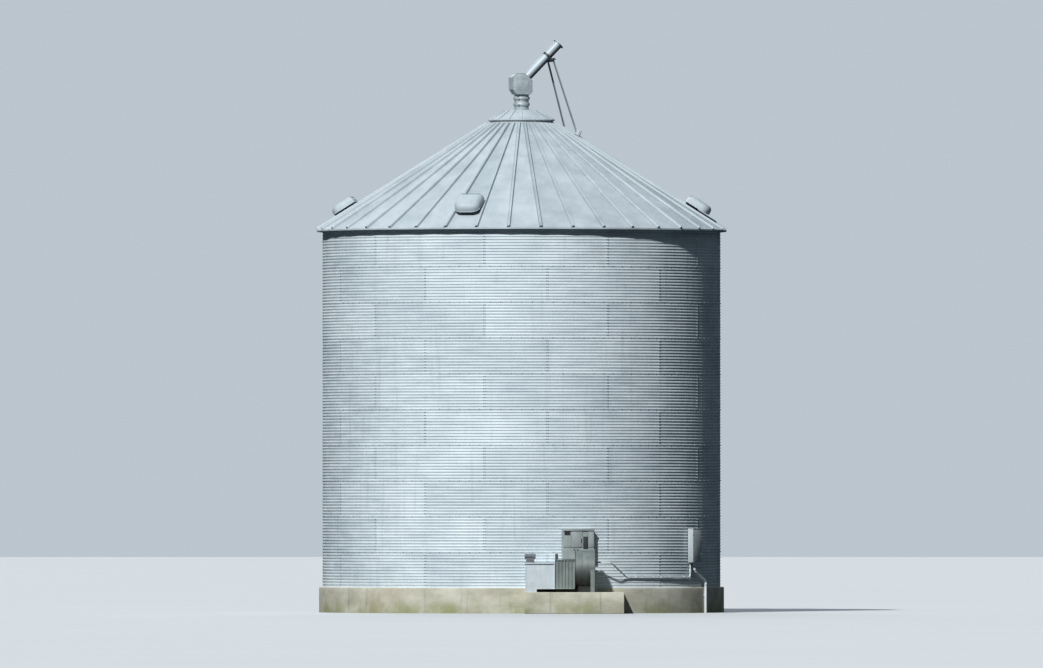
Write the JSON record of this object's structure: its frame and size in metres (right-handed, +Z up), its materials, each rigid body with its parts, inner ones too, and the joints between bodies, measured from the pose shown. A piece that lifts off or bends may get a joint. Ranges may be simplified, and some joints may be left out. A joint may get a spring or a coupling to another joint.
{
  "type": "grain silo",
  "caption": "Corrugated steel grain bin: round wall of bolted rings, ribbed conical roof with vents, peak lid with spout head, concrete base and aeration fan.",
  "frame": {"origin": "on the bin's vertical axis at ground level, on the underside of the foundation", "axes": "+Z up, -Y towards the front, where the fan pad is, +X to the right, where the spout comes from"},
  "size_m": [9.406, 10.403, 13.1487],
  "materials": {
    "galvanised_wall": "weathered galvanised sheet, matt grey-blue",
    "galvanised_roof": "weathered galvanised sheet, slightly brighter than the wall",
    "galvanised_trim": "dull hot-dip galvanised angle and plate",
    "dark_steel": "dark weathered steel",
    "fan_paint": "faded grey-green enamel",
    "box_paint": "pale grey powder coat",
    "grey_pipe": "pale grey conduit",
    "white_pipe": "white plastic conduit",
    "concrete": "cast concrete with form marks and stains"
  },
  "bodies": {
    "root": {"foundation": "concrete", "fan_pad": "concrete", "wall_ring_01": "galvanised_wall", "wall_ring_02": "galvanised_wall", "wall_ring_03": "galvanised_wall", "wall_ring_04": "galvanised_wall", "wall_ring_05": "galvanised_wall", "wall_ring_06": "galvanised_wall", "wall_ring_07": "galvanised_wall", "wall_ring_08": "galvanised_wall", "wall_ring_09": "galvanised_wall", "wall_ring_10": "galvanised_wall", "eave_ring": "galvanised_trim", "roof_section_01": "galvanised_roof", "roof_section_02": "galvanised_roof", "roof_section_03": "galvanised_roof", "roof_section_04": "galvanised_roof", "roof_section_05": "galvanised_roof", "roof_section_06": "galvanised_roof", "roof_section_07": "galvanised_roof", "roof_section_08": "galvanised_roof", "roof_section_09": "galvanised_roof", "roof_section_10": "galvanised_roof", "roof_vent_1": "galvanised_roof", "roof_vent_2": "galvanised_roof", "roof_vent_3": "galvanised_roof", "roof_vent_4": "galvanised_roof", "peak_collar": "galvanised_trim", "peak_lid": "galvanised_roof", "inlet_neck": "galvanised_trim", "spout_head": "galvanised_trim", "spout_stub": "galvanised_roof", "spout_saddle": "dark_steel", "spout_leg_near": "dark_steel", "spout_leg_far": "dark_steel", "transition_duct": "galvanised_wall", "duct_actuator": "dark_steel", "fan_boot": "fan_paint", "fan_barrel": "fan_paint", "fan_motor": "dark_steel", "fan_inlet_guard": "galvanised_trim", "fan_skid": "fan_paint", "fan_cabinet": "fan_paint", "control_box": "box_paint", "conduit_run": "grey_pipe", "conduit_riser": "white_pipe"}
  },
  "joints": []
}
